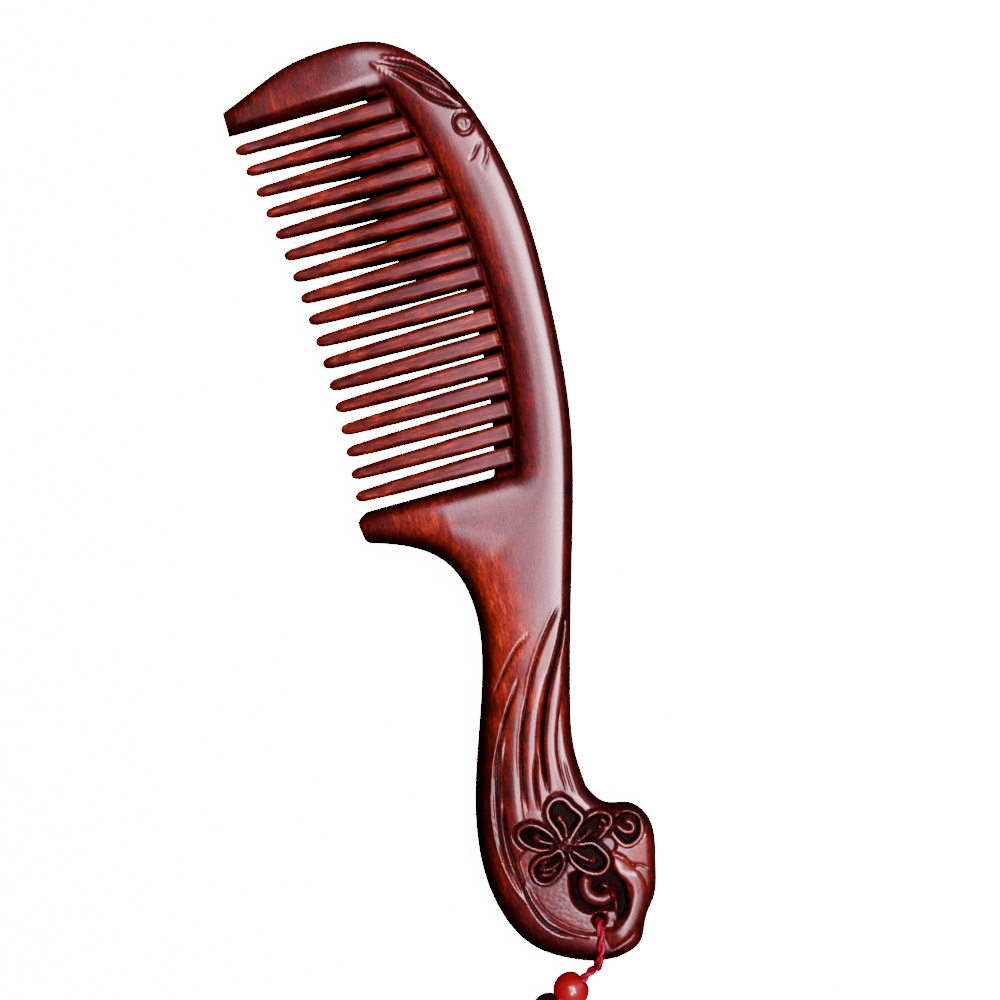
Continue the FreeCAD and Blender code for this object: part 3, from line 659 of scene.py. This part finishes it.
def tooth_mesh(name, y, bend):
    """One tooth, from inside the spine to its rounded tip, with painted shade on its sides and lower flank.
    """
    tip = TIP_X - TIP_BOW + math.sqrt(TIP_BOW ** 2 - (y - TIP_BOW_Y) ** 2)
    root = float(bed_x(y)) - 0.15
    stout = float(smooth_step(y, 34.0, 60.0))  # the upper teeth are stouter near the spine
    steps, cap_steps, across = 26, 8, 40
    sections = []
    for i in range(steps + 1):
        s = i / steps
        x = root + (tip + TIP_ROUND - root) * s
        more = stout * float(smooth_step(x, -13.0, -4.5))
        width = float(np.interp(x, WIDTH_AT[0], WIDTH_AT[1])) + WIDER * more
        thick = float(np.interp(x, THICK_AT[0], THICK_AT[1])) + THICKER * more
        sections.append((x, width, thick, 6.0 - 3.4 * s ** 0.6 - ROUNDER * more, LOWER * more))
    last_x, last_width, last_thick = sections[-1][:3]
    for k in range(1, cap_steps):
        a = math.radians(90 * k / cap_steps)
        scale = math.cos(a) ** 0.8
        sections.append((last_x - TIP_ROUND * math.sin(a), last_width * scale, last_thick * scale, 2.2, 0.0))
    vertices = []
    shade = []
    for x, width, thick, power, lower in sections:
        deep = float(smooth_step(x, -19.0, -8.0))
        for k in range(across):
            a = 2 * math.pi * k / across
            cy = math.copysign(abs(math.cos(a)) ** (2 / power), math.cos(a))
            cz = math.copysign(abs(math.sin(a)) ** (2 / power), math.sin(a))
            at_y = y + cy * width / 2 + bend * (x + 5) * 0.002
            vertices.append((x * MM, at_y * MM, (MID + cz * thick / 2 - lower) * MM))
            # painted shade on the tooth's sides near the spine and on its lower (-Y) flank; 0.25 * bend is a
            # tone that differs from tooth to tooth
            side = 0.97 * deep * (1 - float(smooth_step(abs(cz), 0.70, 0.97)))
            flank = 0.80 * float(smooth_step(max(0.0, -cy), 0.45, 1.0))
            shade.append(max(side, flank, 0.25 * bend))
    faces = []
    rows = len(sections)
    for i in range(rows - 1):
        for k in range(across):
            a, b = i * across + k, i * across + (k + 1) % across
            faces.append((a + across, b + across, b, a))
    vertices.append((tip * MM, y * MM, MID * MM))
    vertices.append((root * MM, y * MM, MID * MM))
    shade += [0.0, 1.0]
    end, start = len(vertices) - 2, len(vertices) - 1
    for k in range(across):
        after = (k + 1) % across
        faces.append((end, (rows - 1) * across + after, (rows - 1) * across + k))
        faces.append((start, k, after))
    mesh = smooth_mesh(name, vertices, faces)
    point_values(mesh, "dark", shade)
    return mesh


# -------- the cord
loop_angle = math.radians(-105.8)
loop_way = np.array([math.cos(loop_angle), math.sin(loop_angle)])
RIM, PAST_RIM = 8.6, 1.4  # from the hole to the rim, and on to the pendant's pivot
CORD_Z = 3.65
edge_point = np.array([0.55, -94.75])  # where the loop goes over the rim
hole = edge_point - loop_way * RIM
pivot = hole + loop_way * (RIM + PAST_RIM)
pendant_angle = math.radians(-152.5)
pendant_way = np.array([math.cos(pendant_angle), math.sin(pendant_angle)])
pendant_side = np.array([-pendant_way[1], pendant_way[0]])
# The pendant's cord: distance out from the pivot, to its side, and height
cord_route = [(0.0, 0.0, CORD_Z), (17.0, 0.0, CORD_Z), (21.0, 1.8, CORD_Z), (23.8, 5.6, CORD_Z),
              (25.2, 13.0, 3.6), (25.6, 17.6, 2.3), (25.4, 21.6, 1.8)]
# The doubled loop: up the back, through the hole and down the front
loop_route = [(0.15, -96.05, 3.2), (0.75, -93.9, 1.75), (1.7, -90.6, 1.35), (2.45, -87.9, 1.2),
              (2.85, -86.6, 2.2), (2.85, -86.6, 6.0), (2.75, -86.9, 10.2), (2.35, -89.0, 10.75),
              (1.95, -91.2, 10.65), (1.2, -93.1, 10.5), (0.35, -94.6, 9.6), (0.0, -95.7, 7.6),
              (0.1, -96.1, 5.4), (0.15, -96.1, 4.1)]


def on_route(u, w, z):
    """A point of the pendant's route, in metres of the frame."""
    p = pivot + pendant_way * u + pendant_side * w
    return np.array([p[0], p[1], z]) * MM


def curve_points(points, name):
    """Points read from a smooth NURBS line that has the given points as its control points."""
    data = bpy.data.curves.new(name, "CURVE")
    data.dimensions = "3D"
    data.resolution_u = 24
    spline = data.splines.new("NURBS")
    spline.points.add(len(points) - 1)
    for at, p in zip(spline.points, points):
        at.co = (float(p[0]), float(p[1]), float(p[2]), 1.0)
    spline.order_u = 3
    spline.use_endpoint_u = True
    spline.resolution_u = 24
    holder = bpy.data.objects.new(name, data)
    bpy.context.scene.collection.objects.link(holder)
    bpy.context.view_layer.update()
    read = bpy.data.meshes.new_from_object(holder)
    line = np.array([v.co[:] for v in read.vertices])
    bpy.data.objects.remove(holder)
    bpy.data.meshes.remove(read)
    return line


def resample(line, spacing):
    """The line with even spacing, and the distance along it at each point."""
    s = np.concatenate([[0], np.cumsum(np.linalg.norm(np.diff(line, axis=0), axis=1))])
    count = max(4, int(s[-1] / spacing) + 1)
    at = np.linspace(0, s[-1], count)
    return np.stack([np.interp(at, s, line[:, k]) for k in range(3)], axis=1), at


def frames_along(line):
    """Two directions across the line that don't twist along it."""
    tangent = np.gradient(line, axis=0)
    tangent /= np.linalg.norm(tangent, axis=1)[:, None]
    n = np.cross(tangent[0], [0, 0, 1.0])
    n /= np.linalg.norm(n)
    normals = [n]
    for t in tangent[1:]:
        n = n - t * np.dot(n, t)
        n /= np.linalg.norm(n)
        normals.append(n)
    normals = np.array(normals)
    return normals, np.cross(tangent, normals)


def add_tube(line, radius, vertices, faces, sides=14):
    """Adds a tube with closed ends round the line to the vertices and faces."""
    normals, crosses = frames_along(line)
    first = len(vertices)
    for p, n, b in zip(line, normals, crosses):
        for k in range(sides):
            a = 2 * math.pi * k / sides
            vertices.append(tuple(p + (n * math.cos(a) + b * math.sin(a)) * radius))
    for i in range(len(line) - 1):
        for k in range(sides):
            a, c = first + i * sides + k, first + i * sides + (k + 1) % sides
            faces.append((a, a + sides, c + sides, c))
    faces.append(tuple(first + k for k in range(sides)))
    faces.append(tuple(reversed([first + (len(line) - 1) * sides + k for k in range(sides)])))


def rope_mesh(name, line, diameter, twist_length, start_angle):
    """Two strands twisted together round a line."""
    line, s = resample(line, 0.00035)
    n, b = frames_along(line)
    vertices, faces = [], []
    strand = diameter * 0.27  # a strand's radius
    for k in range(2):
        angle = start_angle + 2 * math.pi * s / twist_length + math.pi * k
        off = (diameter / 2 - strand) * (n * np.cos(angle)[:, None] + b * np.sin(angle)[:, None])
        add_tube(line + off, strand, vertices, faces)
    return smooth_mesh(name, vertices, faces)


def turned_mesh(name, profile, sides=72):
    """A closed ring profile [(along, radius)] turned about +X."""
    vertices, faces = [], []
    for along, radius in profile:
        for k in range(sides):
            a = 2 * math.pi * k / sides
            vertices.append((along, radius * math.cos(a), radius * math.sin(a)))
    rows = len(profile)
    for i in range(rows):
        for k in range(sides):
            a, b = i * sides + k, i * sides + (k + 1) % sides
            j = (i + 1) % rows
            faces.append((b, j * sides + (k + 1) % sides, j * sides + k, a))
    return smooth_mesh(name, vertices, faces)


def bead_profile(diameter, length, bore):
    """A round bead with slightly proud bore ends."""
    radius, half = diameter / 2, length / 2
    proud = 0.00004
    profile = []
    end = math.acos(half / radius)
    for k in range(41):
        a = end + (math.pi - 2 * end) * k / 40
        profile.append((radius * math.cos(a), radius * math.sin(a)))
    lip = profile[-1][1]
    for k in range(1, 6):
        s = k / 6
        profile.append((-half - proud * math.sin(math.pi * s), lip + (bore - lip) * s))
    for k in range(9):
        profile.append((-half + 2 * half * k / 8, bore))
    for k in range(1, 6):
        s = k / 6
        profile.append((half + proud * math.sin(math.pi * s), bore + (lip - bore) * s))
    return profile


# -------- materials
def new_material(name):
    """A material, its node tree, its shader, and the object's own coordinates."""
    material = bpy.data.materials.new(name)
    material.use_nodes = True
    tree = material.node_tree
    place = tree.nodes.new("ShaderNodeTexCoord").outputs["Object"]
    return material, tree, tree.nodes["Principled BSDF"], place


def attribute(tree, name):
    made = tree.nodes.new("ShaderNodeAttribute")
    made.attribute_name = name
    return made.outputs["Fac"]


def along_grain(tree, place, axis, squeeze):
    """Coordinates squeezed along an axis, so that a noise drawn in them is stretched along it."""
    made = tree.nodes.new("ShaderNodeMapping")
    made.inputs["Scale"].default_value = (squeeze, 1, 1) if axis == "X" else (1, squeeze, 1)
    tree.links.new(place, made.inputs["Vector"])
    return made.outputs[0]


def noise(tree, place, scale, detail=2.0, roughness=0.5):
    made = tree.nodes.new("ShaderNodeTexNoise")
    for socket, value in (("Scale", scale), ("Detail", detail), ("Roughness", roughness)):
        made.inputs[socket].default_value = value
    tree.links.new(place, made.inputs["Vector"])
    return made.outputs["Fac"]


def ramp(tree, source, *stops):
    """Colours at values of the source, given as (value, colour)."""
    made = tree.nodes.new("ShaderNodeValToRGB")
    elements = made.color_ramp.elements
    while len(elements) < len(stops):
        elements.new(0.5)
    for element, (at, colour) in zip(elements, stops):
        element.position = at
        element.color = (*colour, 1.0)
    tree.links.new(source, made.inputs["Fac"])
    return made.outputs["Color"]


def put(tree, socket, value):
    """Links the value to the socket if it is an output of a node, and else sets it."""
    if hasattr(value, "is_linked"):
        tree.links.new(value, socket)
    else:
        socket.default_value = (*value, 1.0) if isinstance(value, tuple) else value


def mix(tree, a, b, factor, mode="MIX"):
    made = tree.nodes.new("ShaderNodeMix")
    made.data_type = "RGBA"
    made.blend_type = mode
    for number, value in ((0, factor), (6, a), (7, b)):  # the sockets of a mix of colours
        put(tree, made.inputs[number], value)
    return made.outputs[2]


def math_node(tree, operation, a, b):
    made = tree.nodes.new("ShaderNodeMath")
    made.operation = operation
    put(tree, made.inputs[0], a)
    put(tree, made.inputs[1], b)
    return made.outputs[0]


def add_bump(tree, shader, height, strength, distance):
    made = tree.nodes.new("ShaderNodeBump")
    made.inputs["Strength"].default_value = strength
    made.inputs["Distance"].default_value = distance
    tree.links.new(height, made.inputs["Height"])
    tree.links.new(made.outputs[0], shader.inputs["Normal"])


def wood_material(name, axis, deep, middle, warm, gloss, coat, roughness, is_frame=False):
    """Polished dark red wood: grain and pores along one axis, with painted shade, nearly black, wherever the
    mesh's dark attribute is set.
    """
    material, tree, shader, place = new_material(name)
    streaks = noise(tree, along_grain(tree, place, axis, 0.12), 1700.0, 4.0, 0.55)
    pores = noise(tree, along_grain(tree, place, axis, 0.35), 3400.0, 2.0, 0.6)
    clouds = noise(tree, place, 120.0, 5.0, 0.6)
    base = ramp(tree, streaks, (0.28, deep), (0.52, middle), (0.78, warm))
    shade = ramp(tree, clouds, (0.32, (0.38, 0.33, 0.36)), (0.68, (1.35, 1.35, 1.2)))
    base = mix(tree, base, shade, 1.0, "MULTIPLY")
    pore = ramp(tree, pores, (0.38, (0.22, 0.16, 0.16)), (0.49, (1, 1, 1)))
    base = mix(tree, base, pore, 0.7, "MULTIPLY")
    rough = ramp(tree, streaks, (0.2, (roughness + 0.04,) * 3), (0.8, (roughness - 0.04,) * 3))
    half_streaks = math_node(tree, "MULTIPLY", streaks, 0.5)
    height = math_node(tree, "ADD", half_streaks, math_node(tree, "MULTIPLY", pores, 0.5))
    if is_frame:
        marks = attribute(tree, "rough")
        base = mix(tree, base, mix(tree, base, (3.6, 4.6, 3.0), 1.0, "MULTIPLY"), attribute(tree, "warmth"))
        chisel = math_node(tree, "MULTIPLY", noise(tree, place, 750.0, 4.0, 0.7), marks)
        height = math_node(tree, "ADD", height, math_node(tree, "MULTIPLY", chisel, 6.0))
        rough = mix(tree, rough, (0.38,) * 3, marks)
    # painted shade: where 'dark' is set, the colour goes nearly black and the gloss and coat fade away
    dark = attribute(tree, "dark")
    base = mix(tree, base, (0.0020, 0.0003, 0.0003), dark)
    lit = math_node(tree, "SUBTRACT", 1.0, dark)
    tree.links.new(math_node(tree, "MULTIPLY", lit, gloss), shader.inputs["Specular IOR Level"])
    tree.links.new(math_node(tree, "MULTIPLY", lit, coat), shader.inputs["Coat Weight"])
    tree.links.new(base, shader.inputs["Base Color"])
    tree.links.new(rough, shader.inputs["Roughness"])
    add_bump(tree, shader, height, 0.28, 0.00006)
    shader.inputs["Specular Tint"].default_value = (1.0, 0.52, 0.60, 1.0)
    shader.inputs["Coat Roughness"].default_value = 0.20
    shader.inputs["Coat IOR"].default_value = 1.5
    return material


def cord_material(name):
    material, tree, shader, place = new_material(name)
    threads = noise(tree, place, 5200.0)
    colour = ramp(tree, threads, (0.3, (0.09, 0.001, 0.005)), (0.7, (0.34, 0.004, 0.022)))
    tree.links.new(colour, shader.inputs["Base Color"])
    add_bump(tree, shader, threads, 0.4, 0.00005)
    shader.inputs["Roughness"].default_value = 0.42
    shader.inputs["Specular IOR Level"].default_value = 0.18
    return material


def bead_material(name, deep, bright, roughness):
    material, tree, shader, place = new_material(name)
    colour = ramp(tree, noise(tree, place, 260.0, 4.0, 0.55), (0.3, deep), (0.75, bright))
    tree.links.new(colour, shader.inputs["Base Color"])
    shader.inputs["Roughness"].default_value = roughness
    shader.inputs["Coat Weight"].default_value = 0.6
    shader.inputs["Coat Roughness"].default_value = 0.08
    return material


frame_wood = wood_material("sandalwood_frame", "Y", (0.036, 0.0020, 0.0018), (0.080, 0.0042, 0.0034),
                           (0.180, 0.0125, 0.0080), gloss=0.72, coat=0.34, roughness=0.28, is_frame=True)
tooth_wood = wood_material("sandalwood_teeth", "X", (0.030, 0.0019, 0.0016), (0.120, 0.0072, 0.0044),
                           (0.400, 0.042, 0.016), gloss=0.40, coat=0.05, roughness=0.38)
red_cord = cord_material("red_cord_silk")
red_glass = bead_material("red_bead_gloss", (0.20, 0.001, 0.005), (0.34, 0.002, 0.010), 0.28)
dark_stone = bead_material("dark_bead_gloss", (0.010, 0.0015, 0.002), (0.035, 0.003, 0.004), 0.25)


# -------- the pieces
def add(name, mesh, material, body=None, nodes=()):
    obj = bpy.data.objects.new(name, mesh)
    bpy.context.scene.collection.objects.link(obj)
    mesh.materials.append(material)
    if body:
        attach(obj, body)
    if nodes:
        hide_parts(*nodes)
    return obj


add("carved_frame", frame_mesh(), frame_wood, "comb", ["comb_frame"])
for i in range(TEETH):
    label = "tooth_%02d" % (i + 1)
    add("carved_" + label, tooth_mesh(label + "_wood", ROW_FIRST - i * PITCH, BEND[i]), tooth_wood,
        "comb", [label])

loop_line = curve_points([np.array(p) * MM for p in loop_route], "loop_route")
add("doubled_loop", rope_mesh("doubled_loop_strands", loop_line, 0.0018, 0.0062, 2.4), red_cord,
    "comb", ["hanging_loop"])

CORD_DIAMETER = 0.0019
pendant_line = curve_points([on_route(*p) for p in cord_route], "pendant_route")
pendant = add("beaded_cord", rope_mesh("beaded_cord_strands", pendant_line, CORD_DIAMETER, 0.0042, 0.6),
              red_cord)

BORE = 0.00115  # a bead's bore, its radius in metres
RED_SIZE, DARK_SIZE = (7.3, 6.0), (7.0, 5.6)  # diameter and length
RED_OUT, BEAD_GAP = 7.4, 0.25  # the red bead's distance from the pivot, and the gap after it
dark_out = RED_OUT + (RED_SIZE[1] + DARK_SIZE[1]) / 2 + BEAD_GAP
p3, p4 = on_route(*cord_route[3]), on_route(*cord_route[4])


def bead(name, size, centre, way, material, cad):
    """A bead on the cord, in the place of one CAD bead and on its body."""
    mesh = turned_mesh(name + "_turned", bead_profile(size[0] * MM, size[1] * MM, BORE))
    obj = add(name, mesh, material)
    obj.location = tuple(centre)
    obj.rotation_euler = (0, 0, math.atan2(way[1], way[0]))
    bpy.context.view_layer.update()
    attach(obj, cad + "_body")
    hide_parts(cad)
    return obj


red = bead("polished_red_bead", RED_SIZE, on_route(RED_OUT, 0, CORD_Z), pendant_way, red_glass,
           "red_bead")
dark_1 = bead("polished_dark_bead_1", DARK_SIZE, on_route(dark_out, 0, CORD_Z), pendant_way, dark_stone,
              "dark_bead_1")
dark_2 = bead("polished_dark_bead_2", DARK_SIZE, (p3 + p4) / 2, p4 - p3, dark_stone,
              "dark_bead_2")


def knot_mesh():
    """The end knot: a cord drawn up in a small trefoil."""
    t = np.linspace(0, 2 * math.pi, 121)
    x = (np.sin(t) + 2 * np.sin(2 * t)) * 0.00032
    y = (np.cos(t) - 2 * np.cos(2 * t)) * 0.00032
    z = -np.sin(3 * t) * 0.0005
    vertices, faces = [], []
    add_tube(np.stack([x, y, z], axis=1) + on_route(*cord_route[-1]), 0.00062, vertices, faces)
    return smooth_mesh("end_knot_strand", vertices, faces)


knot = add("drawn_end_knot", knot_mesh(), red_cord, "pendant", ["end_knot"])
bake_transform(pendant)
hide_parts("pendant_cord")


# -------- floor, light and camera
def floor_material():
    material, tree, shader, place = new_material("pale_floor")
    colour = ramp(tree, noise(tree, place, 3.0), (0.0, (0.9, 0.9, 0.9)), (1.0, (0.92, 0.92, 0.92)))
    tree.links.new(colour, shader.inputs["Base Color"])
    shader.inputs["Roughness"].default_value = 0.9
    shader.inputs["Specular IOR Level"].default_value = 0.0
    shader.inputs["Emission Color"].default_value = (1, 1, 1, 1)
    shader.inputs["Emission Strength"].default_value = 14.0
    return material


floor_mesh = bpy.data.meshes.new("floor_sheet")
floor_corners = [(x, y, -0.0002) for x, y in ((-3, -3), (3, -3), (3, 3), (-3, 3))]
floor_mesh.from_pydata(floor_corners, [], [(0, 1, 2, 3)])
floor = bpy.data.objects.new("floor", floor_mesh)
bpy.context.scene.collection.objects.link(floor)
floor_mesh.materials.append(floor_material())
floor.visible_glossy = False
floor.visible_diffuse = False

world = bpy.data.worlds.new("studio")
bpy.context.scene.world = world
world.use_nodes = True
world.node_tree.nodes["Background"].inputs["Color"].default_value = (1, 1, 1, 1)
world.node_tree.nodes["Background"].inputs["Strength"].default_value = 0.02


LAMP_TINT = (1.0, 0.90, 0.99)


def area(name, location, target, size, size_y, watts):
    """A rectangular lamp that faces its target."""
    data = bpy.data.lights.new(name, "AREA")
    data.shape = "RECTANGLE"
    data.size, data.size_y = size, size_y
    data.energy = watts
    data.color = LAMP_TINT
    lamp = bpy.data.objects.new(name, data)
    bpy.context.scene.collection.objects.link(lamp)
    lamp.location = location
    aim = Vector(target) - Vector(location)
    lamp.rotation_euler = aim.to_track_quat("-Z", "Y").to_euler()


area("right_softbox", (0.29, 0.01, 0.90), (0.29, 0.01, 0.0), 0.10, 0.62, 18.0)
area("row_softbox", (-0.03, 0.15, 0.90), (-0.03, 0.15, 0.0), 0.07, 0.28, 0.9)
area("upper_softbox", (0.03, 0.36, 0.90), (0.03, 0.36, 0.0), 0.22, 0.22, 2.4)
area("lower_softbox", (0.01, -0.30, 0.90), (0.01, -0.30, 0.0), 0.15, 0.32, 5.2)
area("right_fill", (0.9, 0.1, 0.35), (0.0, 0.0, 0.0), 0.5, 0.8, 0.8)

camera_data = bpy.data.cameras.new("camera")
camera = bpy.data.objects.new("camera", camera_data)
bpy.context.scene.collection.objects.link(camera)
camera_data.lens = 72
camera_data.sensor_width = 36
camera_data.clip_start = 0.01
camera.location = (0.00614, -0.00077, 0.406)
camera.rotation_euler = (0, 0, math.radians(-15.5))
bpy.context.scene.camera = camera
